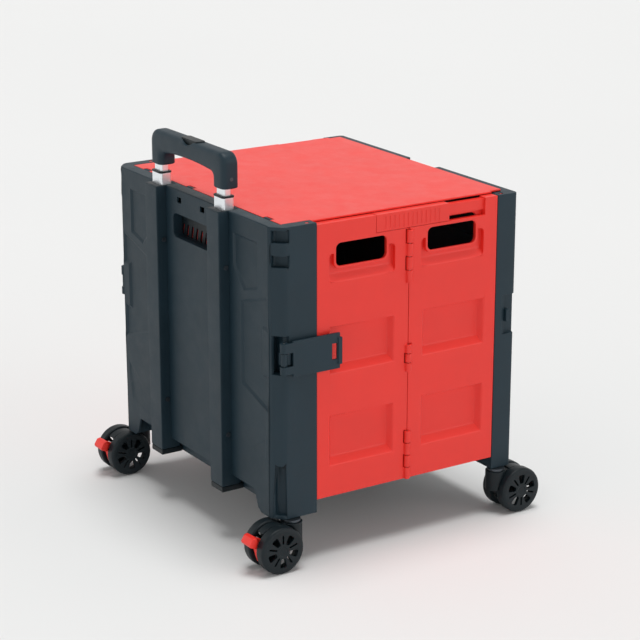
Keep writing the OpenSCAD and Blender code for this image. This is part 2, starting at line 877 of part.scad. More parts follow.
module back_panel() {
    y = [mid_y + gap, far_wrap_y - gap];
    track_end = y[1] - 19;
    difference() {
        union() {
            difference() {
                panel_blank(y, (y[0] + y[1]) / 2 - 3, (y[0] + y[1]) / 2 + 1.6);
                hinge_clearance(1);
                // track of the bolt, with the rail that guides it left standing
                box([panel_x - bolt_seat, mid_y, bolt_floor_z], [panel_x + 1, track_end, bolt_floor_z + 6.5]);
                box([panel_x - 3.5, mid_y, bolt_floor_z], [panel_x + 1, track_end, panel_top + 1]);
                box([panel_x - panel_t - 1, mid_y, panel_top - 2], [panel_x + 1, track_end, panel_top + 1]);
            }
            hinge_knuckles(1);
        }
        mid_pin_hole();
    }
    pivot_tongue(far_pivot_y, -1, panel_top - 6, panel_top - 0.4);
}

module left_front_panel() {
    color(red) mirror([1, 0, 0]) front_panel();
}

module right_front_panel() {
    color(red) front_panel();
}

module left_back_panel() {
    color(red) mirror([1, 0, 0]) back_panel();
}

module right_back_panel() {
    color(red) back_panel();
}

module hinge_pin() {
    color(steel)
        for (span = pin_spans())
            post([mid_x, mid_y], mid_pin_r, span[0] + 0.5, span[1] - 0.5);
}

module left_hinge_pin() {
    mirror([1, 0, 0]) hinge_pin();
}

module right_hinge_pin() {
    hinge_pin();
}

// Slide bolt: a cover plate with a lower leg that hooks under the rail of its track
module slide_bolt() {
    y = [bolt_y, bolt_y + bolt_len];
    color(red)
        difference() {
            union() {
                box([panel_x - 3.1, y[0], bolt_floor_z + 0.4], [panel_x, y[1], panel_top + 0.3]);
                box([panel_x - bolt_seat + 0.4, y[0], bolt_floor_z + 0.4],
                    [panel_x, y[1], bolt_floor_z + 6.1]);
                // flange over the panels' top edges
                box([panel_x - panel_t + 0.5, y[0], panel_top - 1.6], [panel_x, y[1], panel_top + 0.3]);
            }
            // fine grip grooves
            for (i = [0:12])
                box([panel_x - 0.5, y[0] + 12 + i * 6.6, bolt_floor_z + 3],
                    [panel_x + 1, y[0] + 14 + i * 6.6, panel_top - 3]);
        }
}

module left_bolt() {
    mirror([1, 0, 0]) slide_bolt();
}

module right_bolt() {
    slide_bolt();
}

// ---------- far shell ----------

function far_outline(inset) = [
    [0, far_face - inset],
    [side_x - 5 - inset * 0.4, far_face - inset],
    [side_x - 1.4 - inset * 0.7, far_face - 1.4 - inset * 0.7],
    [side_x - inset, far_face - 5 - inset * 0.4],
    [side_x - inset, far_wrap_y]
];

module far_plan() {
    polygon(concat(far_outline(0), [for (i = [4:-1:0]) far_outline(wall)[i]]));
}

module far_solid_plan() {
    polygon(concat(far_outline(0), [[0, far_wrap_y]]));
}

module half_far_shell() {
    recess_z = [latch_z[0] - 2.5, latch_z[1] + 4];
    difference() {
        union() {
            difference() {
                along_z([foot_z, far_rim_z]) far_plan();
                // clear of the floor's tip
                along_y(far_face - 10, far_face + 1)
                    polygon([[-1, foot_z - 1], [-1, floor_top + 1.5], [foot_inner_x - 4, floor_top + 1.5],
                             [foot_inner_x, foot_z + 6], [foot_inner_x, foot_z - 1]]);
            }
            difference() {
                along_z([panel_top - 5.5, far_rim_z]) far_solid_plan();
                box([-1, 0, panel_top - 7], [lid_opening_x, lid_far_y - 0.8, panel_top + 1]);
            }
            // foot that carries the castor, and the bar under the floor
            intersection() {
                along_z([foot_z, foot_top]) far_solid_plan();
                box([foot_inner_x, far_wrap_y, foot_z], [side_x, far_face, foot_top]);
            }
            box([0, far_face - 17, foot_z], [foot_inner_x + 1, far_face - 1, floor_top - floor_t - 0.3]);
            // backing of the latch recess
            intersection() {
                along_z([recess_z[0] - 3, recess_z[1] + 3]) far_solid_plan();
                box([side_x - 12, catch_y - 3.6, recess_z[0] - 3], [side_x, far_face, recess_z[1] + 3]);
            }
            // ribs pressed across the outer face
            for (z = [150, 250, 350])
                box([0, far_face - wall - 2, z - 1.2], [side_x - 20, far_face - 1, z + 1.2]);
        }
        // latch recess: shallow beside the pivot, deep at the corner
        box([side_x - 1.3, far_wrap_y + 10.5, recess_z[0]], [side_x + 1, far_face + 1, recess_z[1]]);
        difference() {
            box([side_x - 5.5, catch_y - 0.6 - 2.5, recess_z[0]], [side_x + 1, far_face + 1, recess_z[1]]);
            box([side_x - 6, catch_y - 2.5, (recess_z[0] + recess_z[1]) / 2 - 9],
                [side_x + 3, catch_y + 2.5, (recess_z[0] + recess_z[1]) / 2 + 7]);
        }
        // finger notch under the lid's edge
        along_y(far_face - 12, far_face + 1)
            translate([0, panel_top + 1]) round_rect([66, 14], 4);
        post([pivot_x, far_pivot_y], pivot_r + 0.3, stub_bottom - 0.3, panel_top + 1);
        castor_socket(swivel_y[1]);
        far_recesses();
        swing_room(far_pivot_y, -1, panel_top - 6, panel_top + 1);
    }
    // catch that the latch's slot drops over when the cart is folded
    box([side_x - 6, catch_y - 2.5, (recess_z[0] + recess_z[1]) / 2 - 9],
        [side_x + 2.6, catch_y + 2.5, (recess_z[0] + recess_z[1]) / 2 + 7]);
}

// Shallow panels pressed into the far face
module far_recesses() {
    along_y(far_face - 1.2, far_face + 1)
        for (z = [[100, 230], [262, 392]])
            polygon([[14, z[0]], [14, z[1]], [150, z[1]], [168, z[1] - 18], [168, z[0] + 18], [150, z[0]]]);
}

module far_shell() {
    color(slate)
        both_sides()
            half_far_shell();
}

// ---------- latches ----------

module latch() {
    slot_y = catch_y - fold_travel;
    slot_z = (latch_z[0] + latch_z[1]) / 2 - 0.25;
    color(slate)
        difference() {
            union() {
                // two loops round the pin, with arms to the strap
                for (z = [[latch_z[0] + 4, latch_z[0] + 14.1], [latch_z[0] + 30.9, latch_z[1] - 2]]) {
                    post(latch_axis, 5, z[0], z[1]);
                    box([strap_x[0], latch_axis[1], z[0]], [strap_x[1], latch_axis[1] + 11, z[1]]);
                }
                box([strap_x[0], latch_axis[1] + 10, latch_z[0]], [strap_x[1], strap_end_y, latch_z[1]]);
                // thick pull lip at the free end
                box([strap_x[0] + 1, strap_end_y - 3.5, latch_z[0] + 5.5],
                    [strap_x[1] + 1.8, strap_end_y + 2.2, latch_z[1] - 5.5]);
            }
            box([strap_x[0] - 1, slot_y - 3.7, slot_z - 10], [strap_x[1] + 1, slot_y + 3.7, slot_z + 10]);
            post(latch_axis, 1.5 + fit, latch_z[0] - 1, latch_z[1] + 1);
        }
}

module left_latch() {
    mirror([1, 0, 0]) latch();
}

module right_latch() {
    latch();
}

// ---------- castors ----------

// Places a castor: 1 handle left, 2 handle right, 3 far left, 4 far right
module at_castor(n) {
    side = n % 2 == 1 ? -1 : 1;
    far = n > 2;
    translate([side * swivel_x, far ? swivel_y[1] : -swivel_y[0], 0])
        rotate([0, 0, far ? 180 : 0])
            children();
}

// Side outline of the centre web in trail direction u and height; u grows away from the swivel
module web_outline(braked) {
    difference() {
        union() {
            circle(wheel_r - 1.5);
            translate([-trail - 9, 4]) square([22, wheel_r - 8]);
        }
        difference() {
            circle(wheel_r - 8);
            circle(10);
            rotate(125) translate([0, -5]) square([wheel_r, 10]);
        }
        translate([-wheel_r * 2, -wheel_r - 1]) square([wheel_r * 4, wheel_r - 3]);
        if (braked)
            translate([7, -wheel_r]) square([wheel_r, wheel_r + 21]);
        // clear of the stem's bearing cup
        translate([-trail - 20, wheel_r - 4]) square([trail + 20 - 8, 10]);
    }
    if (braked)
        difference() {
            union() {
                translate([brake_pivot[0] - 11, brake_pivot[1] - 5]) square([11, 10]);
                translate(brake_pivot) circle(5);
            }
            circle(3.5);
        }
}

module castor_body(n) {
    braked = n < 3;
    color(coal)
        at_castor(n)
            difference() {
                union() {
                    translate([0, -trail, wheel_r])
                        mirror([0, 1, 0])
                            along_x(-6.4, 6.4) web_outline(braked);
                    difference() {
                        post([0, 0], hood_r, wheel_r + 2, foot_z - 4);
                        for (s = [-1, 1])
                            rod_from([-trail, wheel_r], wheel_r + 0.7, s * 7.2, s * 20);
                    }
                }
                post([0, 0], stem_r + fit, foot_z - 23, foot_z);
                rod([-trail, wheel_r], axle_r + fit, -8, 8);
                // room for the brake lever between the two ears of its pin
                if (braked)
                    box([-4.6, -trail - 30, wheel_r - 6], [4.6, -trail - 7.5, wheel_r + 14]);
            }
    if (braked)
        color(coal)
            at_castor(n)
                translate([0, -trail, wheel_r])
                    rod([-brake_pivot[0], brake_pivot[1]], 1.4, -6.4, 6.4);
}

module rod_from(at, r, a, b) {
    rod(at, r, min(a, b), max(a, b));
}

module castor_axle(n) {
    color(steel)
        at_castor(n)
            rod([-trail, wheel_r], axle_r, -twin_w / 2 + 3, twin_w / 2 - 3);
}

// One wheel of the pair, drawn from its inner face outward
module wheel() {
    width = twin_w / 2 - wheel_gap;
    difference() {
        rotate_extrude($fn = 96)
            polygon([[axle_r + fit, 0.4], [hub_r, 0.4], [hub_r, width - 5], [21, width - 5],
                     [24, 0], [wheel_r - 1.5, 0], [wheel_r, 1.5], [wheel_r, width - 4],
                     [wheel_r - 0.6, width - 2], [wheel_r - 2.4, width - 0.5], [wheel_r - 5, width],
                     [hub_r - 1, width], [hub_r - 2, width - 0.6], [0, width - 0.6],
                     [0, width - 2.6], [axle_r + fit, width - 2.6]]);
        for (i = [0:4]) {
            rotate(72 * i)
                translate([0, 0, -1])
                    linear_extrude(width + 2)
                        polygon([[9.5, -1.9], [11, -2.9], [19.5, -4.6], [21.2, -3.4], [21.2, 3.4],
                                 [19.5, 4.6], [11, 2.9], [9.5, 1.9]]);
            rotate(72 * i + 36)
                translate([15, 0, -1])
                    linear_extrude(width + 2)
                        round_rect([11.5, 2.2], 1);
        }
    }
}

module castor_wheels(n) {
    color(coal)
        at_castor(n)
            for (s = [-1, 1])
                translate([s * wheel_gap, -trail, wheel_r])
                    rotate([0, s * 90, 0])
                        wheel();
}

// Red brake lever: a pedal beyond the wheels and a tail that follows the tread
module brake_lever(n) {
    pad = [[28.8, 15.5], [30.5, 20.5], [35.5, 19.5], [pedal_reach, 12], [39, 9], [31.5, 6.1]];
    arm = [[9, 10], [16, 11.5], [26, 17], [29, 19.5], [30.5, 20.5], [35.5, 19.5], [pedal_reach, 12],
           [39, 9], [31.5, 6], [27.5, 4], [24, -9], [21, -17], [19.5, -16], [20, -8], [19, 1.5], [9.5, 2]];
    color("#ff2a2a")
        at_castor(n)
            translate([0, -trail, wheel_r])
                difference() {
                    mirror([0, 1, 0]) {
                        along_x(-4.2, 4.2) polygon(arm);
                        along_x(-10.5, 10.5) polygon(pad);
                    }
                    rod([-brake_pivot[0], brake_pivot[1]], 1.4 + fit, -5, 5);
                }
}

module castor_body_1() { castor_body(1); }
module castor_body_2() { castor_body(2); }
module castor_body_3() { castor_body(3); }
module castor_body_4() { castor_body(4); }
module castor_axle_1() { castor_axle(1); }
module castor_axle_2() { castor_axle(2); }
module castor_axle_3() { castor_axle(3); }
module castor_axle_4() { castor_axle(4); }
module castor_wheels_1() { castor_wheels(1); }
module castor_wheels_2() { castor_wheels(2); }
module castor_wheels_3() { castor_wheels(3); }
module castor_wheels_4() { castor_wheels(4); }
module brake_lever_1() { brake_lever(1); }
module brake_lever_2() { brake_lever(2); }

// Moves a part from the crate's own middle into the cart's frame
module in_frame() {
    translate([0, frame_shift, 0])
        children();
}

in_frame() handle_shell();
in_frame() grille_plate();
in_frame() grille_backing();
in_frame() rail_left();
in_frame() rail_right();
in_frame() rail_feet();
in_frame() rail_bushes();
in_frame() floor_hinge_rod();
in_frame() lid_hinge_rod();
in_frame() latch_pins();
in_frame() shell_screws();
in_frame() handle_castor_stems();
in_frame() lower_tube_left();
in_frame() lower_tube_right();
in_frame() lower_collars();
in_frame() lower_plugs();
in_frame() upper_tube_left();
in_frame() upper_tube_right();
in_frame() upper_plugs();
in_frame() handle_grip();
in_frame() grip_screws();
in_frame() button_spring();
in_frame() release_button();
in_frame() lid();
in_frame() floor_panel();
in_frame() left_front_panel();
in_frame() left_back_panel();
in_frame() right_front_panel();
in_frame() right_back_panel();
in_frame() left_hinge_pin();
in_frame() right_hinge_pin();
in_frame() left_bolt();
in_frame() right_bolt();
in_frame() far_shell();
in_frame() far_castor_stems();
in_frame() left_latch();
in_frame() right_latch();
in_frame() castor_body_1();
in_frame() castor_axle_1();
in_frame() castor_wheels_1();
in_frame() brake_lever_1();
in_frame() castor_body_2();
in_frame() castor_axle_2();
in_frame() castor_wheels_2();
in_frame() brake_lever_2();
in_frame() castor_body_3();
in_frame() castor_axle_3();
in_frame() castor_wheels_3();
in_frame() castor_body_4();
in_frame() castor_axle_4();
in_frame() castor_wheels_4();
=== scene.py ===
"""Looks of the folding rolling crate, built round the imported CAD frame.

Most pieces are copies of their CAD meshes with mould radii added. Pins, plugs and other small inner pieces
stay the CAD meshes themselves, and the grip has a form of its own.
Lengths are in metres, and MM turns millimetres into metres.
"""
import json
import math

import bmesh
import bpy
from mathutils import Matrix, Vector


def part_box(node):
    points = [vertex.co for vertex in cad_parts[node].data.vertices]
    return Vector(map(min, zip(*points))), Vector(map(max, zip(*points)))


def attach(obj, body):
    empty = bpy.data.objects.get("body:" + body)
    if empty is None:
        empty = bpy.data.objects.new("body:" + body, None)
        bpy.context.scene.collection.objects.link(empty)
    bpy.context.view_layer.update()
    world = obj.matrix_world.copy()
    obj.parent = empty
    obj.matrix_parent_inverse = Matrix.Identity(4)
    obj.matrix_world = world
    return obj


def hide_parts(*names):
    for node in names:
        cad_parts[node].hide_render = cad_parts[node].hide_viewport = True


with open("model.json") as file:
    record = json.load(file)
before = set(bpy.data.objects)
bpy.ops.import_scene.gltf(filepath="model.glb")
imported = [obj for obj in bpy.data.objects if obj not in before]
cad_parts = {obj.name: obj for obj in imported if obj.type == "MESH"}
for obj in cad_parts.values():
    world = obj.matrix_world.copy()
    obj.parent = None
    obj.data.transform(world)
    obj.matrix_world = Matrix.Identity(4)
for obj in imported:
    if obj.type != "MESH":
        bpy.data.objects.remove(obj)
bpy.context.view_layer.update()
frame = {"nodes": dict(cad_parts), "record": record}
NODES = frame["nodes"]
BODY = {node: body for body, nodes in frame["record"]["behaviour"]["bodies"].items() for node in nodes}
SLOT = {part["node"]: part["material_slot"] for part in frame["record"]["subparts"]}
MM = 0.001
X, Y, Z = 0, 1, 2

# linear colours
SLATE = (0.009, 0.025, 0.037)
BLACK = (0.004, 0.0095, 0.0130)
RED = (0.80, 0.028, 0.018)
ALUMINIUM = (0.86, 0.89, 0.92)
ZINC = (0.56, 0.57, 0.58)
BLACK_OXIDE = (0.085, 0.100, 0.115)
FLOOR_DARK = (0.724, 0.734, 0.742)
FLOOR_LIGHT = (0.744, 0.754, 0.762)
AIR = (1.0, 0.985, 0.97, 1.0)

# cleaning and rounding of the CAD meshes; angles in degrees
WELD = 3e-6
SHORTEST_EDGE = 1e-6
SMALLEST_FACE = 2e-6
CORNER_ANGLE = 30
EDGE_STEPS = 2
CRISP_ANGLE = 36

# recesses pressed into the shells and panels; a lean is the cosine between a face's normal and the axis
RECESS_DEPTHS = (0.8 * MM, 3.4 * MM)
GROUND_PLAY = 0.05 * MM
FLOOR_LEAN = 0.999
GROUND_LEAN = 0.98
SLOPE_LEAN = 0.45
WALL_LEAN = 0.35
SLOPE_ANGLES = (12, 62)
IN_LINE = 0.02

# handle shell and far shell: X across, Y towards the far end, Z up; the catches stand out of the far face
SHELL_LOW, SHELL_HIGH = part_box("handle_shell")
LATCH_LOW, LATCH_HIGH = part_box("left_latch")
FACE_Y = SHELL_LOW.y
CATCH_PAST = 3.0 * MM
FAR_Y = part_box("far_shell")[1].y - CATCH_PAST
CORNER_WIDTH, CORNER_DEPTH = 25 * MM, 23 * MM
LATCH_MARGIN = 20 * MM
UPRIGHT = 0.99
RIM_PLAY = 0.2 * MM

# grip: one superellipse section, swept along the bar and down both legs
GRIP_SIDES = 36
BAR_STEPS, CORNER_STEPS, LEG_STEPS = 12, 9, 4
GRIP_POWER = 3.7
GRIP_LEG = 27 * MM
GRIP_BAR = 27 * MM
GRIP_CORNER = 13 * MM
GRIP_BEND = 9 * MM
GRIP_ARCH = 3 * MM
GRIP_EDGE = 0.6 * MM
GRIP_CORNER_ANGLE = 38
GRIP_CRISP_ANGLE = 40
# the end of a leg as pairs of section size and way past the last full section
LEG_END = [(1.0, 0.0), (0.955, 1.0 * MM), (0.90, 1.4 * MM)]

# cuts in the grip
CUT_PAST = 2 * MM
BUTTON_PLAY = 0.3 * MM
POCKET_DEPTH = 16 * MM
POCKET_CORNER = 4 * MM
SCOOP_SIDES = 72
SCOOP_RADIUS = 22 * MM
SCOOP_RISE = 16 * MM
SCOOP_LAND = 5 * MM
TUBE_PLAY = 0.05 * MM
TUBE_CORNER = 3 * MM
TUBE_END_PLAY = 0.5 * MM

# studio; heights in the world are the Z of a direction
FLOOR_HALF = 40.0
WALL_END, CEILING_START = 0.30, 0.62
WALL_LIGHT, CEILING_LIGHT = 1.0, 0.30
LENS, SENSOR = 115.9, 36.0
AZIMUTH, ELEVATION = 57.2, 17.3
CAMERA_PLACE = (2.1706, -1.3827, 1.0380)

# sockets of the colour mix node
MIX_FACTOR, MIX_A, MIX_B, MIXED = 0, 6, 7, 2


def placed(name, data):
    """A new object in the scene."""
    obj = bpy.data.objects.new(name, data)
    bpy.context.scene.collection.objects.link(obj)
    return obj


# ---------- materials ----------

class Shading:
    """A small helper for building a material's node tree."""

    def __init__(self, name):
        self.mat = bpy.data.materials.new(name)
        self.mat.use_nodes = True
        self.tree = self.mat.node_tree
        self.tree.nodes.clear()
        self.out = self.add("ShaderNodeOutputMaterial")
        self.shader = self.add("ShaderNodeBsdfPrincipled")
        self.link(self.shader, self.out, "Surface")
        self.coord = self.add("ShaderNodeTexCoord")

    def add(self, kind, **props):
        """A node of this kind, with these properties."""
        node = self.tree.nodes.new(kind)
        for key, value in props.items():
            setattr(node, key, value)
        return node

    def link(self, source, target, socket, output=0):
        """Joins a node's output, the first one unless another is named, to a socket of another node."""
        self.tree.links.new(source.outputs[output], target.inputs[socket])

    def noise(self, scale, detail, rough, stretch=None):
        """Noise in the object's own space; stretch scales its three axes."""
        node = self.add("ShaderNodeTexNoise")
        node.inputs["Scale"].default_value = scale
        node.inputs["Detail"].default_value = detail
        node.inputs["Roughness"].default_value = rough
        if stretch:
            mapping = self.add("ShaderNodeMapping")
            mapping.inputs["Scale"].default_value = stretch
            self.link(self.coord, mapping, "Vector", "Object")
            self.link(mapping, node, "Vector")
        else:
            self.link(self.coord, node, "Vector", "Object")
        return node

    def ramp(self, source, low, high, at_low, at_high):
        """Maps the range from low to high to the range from at_low to at_high."""
        node = self.add("ShaderNodeMapRange")
        node.inputs["From Min"].default_value = low
        node.inputs["From Max"].default_value = high
        node.inputs["To Min"].default_value = at_low
        node.inputs["To Max"].default_value = at_high
        self.link(source, node, "Value")
        return node

    def mix(self, factor, first, second):
        """Mixes two colours, or the output of an earlier mix and a colour."""
        node = self.add("ShaderNodeMix", data_type="RGBA")
        self.link(factor, node, MIX_FACTOR)
        for socket, value in ((MIX_A, first), (MIX_B, second)):
            if isinstance(value, bpy.types.Node):
                self.link(value, node, socket, MIXED)
            else:
                node.inputs[socket].default_value = (*value, 1.0)
        return node

    def bump(self, height, strength, distance, below=None):
        """A bump from this height, on top of the bump below it."""
        node = self.add("ShaderNodeBump")
        node.inputs["Strength"].default_value = strength
        node.inputs["Distance"].default_value = distance
        self.link(height, node, "Height")
        if below is not None:
            self.link(below, node, "Normal")
        return node

    def finish(self, colour, roughness=None, normal=None, **fixed):
        """Joins the finished chains to the shader, sets its fixed values and gives the material."""
        self.link(colour, self.shader, "Base Color", MIXED)
        if roughness is not None:
            self.link(roughness, self.shader, "Roughness")
        if normal is not None:
            self.link(normal, self.shader, "Normal")
        for socket, value in fixed.items():
            self.shader.inputs[socket.replace("_", " ")].default_value = value
        return self.mat


def scaled(colour, k):
    """The colour k times as bright, at most full."""
    return tuple(min(1.0, c * k) for c in colour)


def moulded_plastic(name, colour, rough, gloss, grain, mottling, wear=0.25):
    """Injection-moulded plastic: spark-eroded grain, faint flow mottling, fine scuffs."""
    m = Shading(name)
    flow = m.noise(scale=14, detail=4, rough=0.6)
    cloud = m.noise(scale=55, detail=3, rough=0.5)
    fine = m.noise(scale=1700, detail=2, rough=0.6)
    coarse = m.noise(scale=620, detail=2, rough=0.5)
    # the base colour drifts slightly with the flow of the melt
    drift = m.mix(m.ramp(flow, 0.35, 0.65, 0, 1),
                  scaled(colour, 1 - mottling), scaled(colour, 1 + mottling))
    clouded = m.mix(m.ramp(cloud, 0.45, 0.75, 0, 0.35), drift, scaled(colour, 1 + 1.6 * mottling))
    # dust and rub marks in a few patches, as short thin lines
    marks = m.noise(scale=90, detail=6, rough=0.72, stretch=(1.0, 1.0, 0.16))
    patches = m.noise(scale=9, detail=2, rough=0.5)
    scuffs = m.add("ShaderNodeMath", operation="MULTIPLY")
    m.link(m.ramp(marks, 0.64, 0.70, 0, 1), scuffs, 0)
    m.link(m.ramp(patches, 0.50, 0.66, 0, wear), scuffs, 1)
    worn = tuple(c * 0.80 + 0.05 for c in colour)
    base = m.mix(scuffs, clouded, worn)
    roughness = m.ramp(cloud, 0.3, 0.7, rough - 0.04, rough + 0.04)
    skin = m.bump(fine, grain, 0.22 * MM)
    skin = m.bump(coarse, grain * 0.6, 0.30 * MM, skin)
    skin = m.bump(flow, 0.10, 2.0 * MM, skin)
    return m.finish(base, roughness, skin, IOR=1.49, Specular_IOR_Level=gloss)


def drawn_metal(name, colour, rough, stretch, line=0.30, spots=0.06):
    """Drawn or turned metal: long fine lines along Z, slight stains."""
    m = Shading(name)
    lines = m.noise(scale=900, detail=2, rough=0.5, stretch=stretch)
    stains = m.noise(scale=60, detail=4, rough=0.6)
    lined = m.mix(m.ramp(lines, 0.3, 0.7, 0, 1), scaled(colour, 1 - spots), scaled(colour, 1 + spots * 0.5))
    base = m.mix(m.ramp(stains, 0.52, 0.72, 0, 0.5), lined, scaled(colour, 1 - 2.2 * spots))
    roughness = m.ramp(lines, 0.3, 0.7, rough - 0.05, rough + 0.07)
    return m.finish(base, roughness, m.bump(lines, line, 0.12 * MM), Metallic=1.0)


MATERIALS = {
    "slate_plastic": moulded_plastic("slate_plastic_grain", SLATE, rough=0.50, gloss=0.33, grain=0.42,
                                     mottling=0.07),
    "black_plastic": moulded_plastic("black_plastic_satin", BLACK, rough=0.44, gloss=0.30, grain=0.25,
                                     mottling=0.10),
    "wheel_plastic": moulded_plastic("wheel_plastic_satin", BLACK, rough=0.46, gloss=0.30, grain=0.25,
                                     mottling=0.16, wear=0.5),
    "red_plastic": moulded_plastic("red_plastic_satin", RED, rough=0.42, gloss=0.48, grain=0.20,
                                   mottling=0.020, wear=0.08),
    "tube_aluminium": drawn_metal("aluminium_drawn", ALUMINIUM, 0.34, stretch=(1.0, 1.0, 0.012),
                                  line=0.12, spots=0.03),
    "steel": drawn_metal("steel_zinc", ZINC, 0.34, stretch=(1.0, 1.0, 0.2)),
    "blackened_steel": drawn_metal("steel_black_oxide", BLACK_OXIDE, 0.42, stretch=(1.0, 1.0, 0.2)),
}


def dress(obj, slot):
    """Gives an object the material of its slot."""
    obj.data.materials.clear()
    obj.data.materials.append(MATERIALS[slot])


# ---------- moulded copies of the CAD pieces ----------

def soften_recess(bm, axis, sign, level, width):
    """Turns the upright walls of shallow recesses into slopes by drawing in each recess floor's outline.

    axis and sign give the way the face looks, level its place; the floors lie RECESS_DEPTHS below it.
    """
    def depth(point):
        return (level - point[axis]) * sign

    floors = {f for f in bm.faces if f.normal[axis] * sign > FLOOR_LEAN
              and RECESS_DEPTHS[0] < depth(f.calc_center_median()) < RECESS_DEPTHS[1]}
    sides = {}
    for floor in floors:
        for loop in floor.loops:
            others = [f for f in loop.edge.link_faces if f is not floor]
            along = loop.link_loop_next.vert.co - loop.vert.co
            if not others or others[0] in floors or along.length < SHORTEST_EDGE:
                continue
            wall = others[0]
            rises = min(depth(v.co) for v in wall.verts) < GROUND_PLAY
            upright = abs(wall.normal[axis]) < WALL_LEAN
            inward = floor.normal.cross(along.normalized())
            for v in loop.edge.verts:
                sides.setdefault(v, []).append((inward, width if rises and upright else 0.0))
    for v, pair in sides.items():
        if len(pair) == 2:
            v.co += corner_shift(*pair)


def corner_shift(first, second):
    """How far a corner moves when its two sides, each (inward direction, way), move inward."""
    (m0, w0), (m1, w1) = first, second
    c = m0.dot(m1)
    det = 1 - c * c
    if det < IN_LINE:
        return m0 * max(w0, w1)
    return ((w0 - w1 * c) * m0 + (w1 - w0 * c) * m1) / det


def round_edges(bm, edges, radius, steps, clamp):
    """Rounds some edges of a mesh; clamp keeps the radius from passing the edges nearby."""
    if edges:
        bmesh.ops.bevel(bm, geom=edges, offset=radius, offset_type="OFFSET", segments=steps,
                        profile=0.5, affect="EDGES", clamp_overlap=clamp, loop_slide=False)
        bmesh.ops.remove_doubles(bm, verts=bm.verts, dist=WELD)


def round_slopes(bm, axis, radius, steps):
    """Rounds the edges between flat ground and the gentle slopes of the recesses that face the axis."""
    low, high = (math.radians(a) for a in SLOPE_ANGLES)
    edges = []
    for e in bm.edges:
        if len(e.link_faces) == 2 and low < e.calc_face_angle(0) < high:
            leans = sorted(abs(f.normal[axis]) for f in e.link_faces)
            if leans[1] > GROUND_LEAN and leans[0] > SLOPE_LEAN:
                edges.append(e)
    round_edges(bm, edges, radius, steps, clamp=True)


def round_wide(bm, test, radius, steps):
    """Rounds the sharp edges whose middle and direction pass the test."""
    edges = []
    for e in bm.edges:
        if len(e.link_faces) == 2 and e.calc_face_angle(0) > math.radians(CORNER_ANGLE):
            a, b = (v.co for v in e.verts)
            if test((a + b) / 2, (b - a).normalized()):
                edges.append(e)
    round_edges(bm, edges, radius, steps, clamp=False)


def break_edges(obj, radius, angle):
    """Rounds every edge sharper than the angle, and applies this and the modifiers before it."""
    bevel = obj.modifiers.new("edge_radius", "BEVEL")
    bevel.width = radius
    bevel.segments = EDGE_STEPS
    bevel.limit_method = "ANGLE"
    bevel.angle_limit = math.radians(angle)
    bevel.use_clamp_overlap = False
    bevel.loop_slide = False
    done = bpy.data.meshes.new_from_object(obj.evaluated_get(bpy.context.evaluated_depsgraph_get()))
    obj.modifiers.clear()
    obj.data = done


def keep_inside(mesh, low, high):
    """No corner of a skin may leave the box of its CAD piece."""
    for v in mesh.vertices:
        v.co = [min(max(v.co[k], low[k]), high[k]) for k in range(3)]


def shade(obj, angle):
    """Smooth shading, with edges sharper than the angle kept crisp."""
    mesh = obj.data
    mesh.polygons.foreach_set("use_smooth", [True] * len(mesh.polygons))
    bm = bmesh.new()
    bm.from_mesh(mesh)
    for e in bm.edges:
        e.smooth = len(e.link_faces) == 2 and e.calc_face_angle(0) < math.radians(angle)
    bm.to_mesh(mesh)
    bm.free()
    obj.modifiers.new("flat_faces_lead", "WEIGHTED_NORMAL").keep_sharp = True


def moulded(node, radius, wide=(), recess=(), slopes=()):
    """A copy of a CAD piece with its mould radii.

    wide lists what round_wide takes, recess what soften_recess takes, and slopes what round_slopes takes.
    """
    mesh = NODES[node].data.copy()
    mesh.name = node + "_skin"
    obj = placed(node + "_skin", mesh)
    bm = bmesh.new()
    bm.from_mesh(mesh)
    bmesh.ops.remove_doubles(bm, verts=bm.verts, dist=WELD)
    bmesh.ops.dissolve_degenerate(bm, dist=SMALLEST_FACE, edges=bm.edges)
    for way in recess:
        soften_recess(bm, *way)
    for way in slopes:
        round_slopes(bm, *way)
    for way in wide:
        round_wide(bm, *way)
    bm.to_mesh(mesh)
    bm.free()
    break_edges(obj, radius, CORNER_ANGLE)
    keep_inside(obj.data, *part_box(node))
    shade(obj, CRISP_ANGLE)
    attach(obj, BODY[node])
    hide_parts(node)
    dress(obj, SLOT[node])


def shell_corner(middle, along):
    """Upright edges of the handle shell's chamfered corners, clear of the latches."""
    in_corner = abs(middle.x) > SHELL_HIGH.x - CORNER_WIDTH and middle.y < FACE_Y + CORNER_DEPTH
    by_latch = LATCH_LOW.z - LATCH_MARGIN < middle.z < LATCH_HIGH.z + LATCH_MARGIN
    return abs(along.z) > UPRIGHT and in_corner and not by_latch


def shell_rim(middle, along):
    """Outer outline of the handle shell's top."""
    return middle.z > SHELL_HIGH.z - RIM_PLAY and middle.y < FACE_Y + RIM_PLAY


# mould radii in millimetres
EDGE_RADII = {
    "rail_left": 1.6, "rail_right": 1.6, "rail_feet": 1.2,
    "grille_plate": 0.4, "rail_bushes": 0.3, "lower_collars": 0.5, "lid": 0.5, "floor_panel": 0.5,
    "left_bolt": 0.4, "right_bolt": 0.4, "left_latch": 0.6, "right_latch": 0.6,
    "castor_body_1": 0.6, "castor_body_2": 0.6, "castor_body_3": 0.6, "castor_body_4": 0.6,
    "castor_wheels_1": 0.4, "castor_wheels_2": 0.4, "castor_wheels_3": 0.4, "castor_wheels_4": 0.4,
    "brake_lever_1": 0.7, "brake_lever_2": 0.7,
    "lower_tube_left": 0.25, "lower_tube_right": 0.25, "upper_tube_left": 0.2, "upper_tube_right": 0.2,
    "shell_screws": 0.3, "grip_screws": 0.2, "handle_castor_stems": 0.4, "far_castor_stems": 0.4,
}

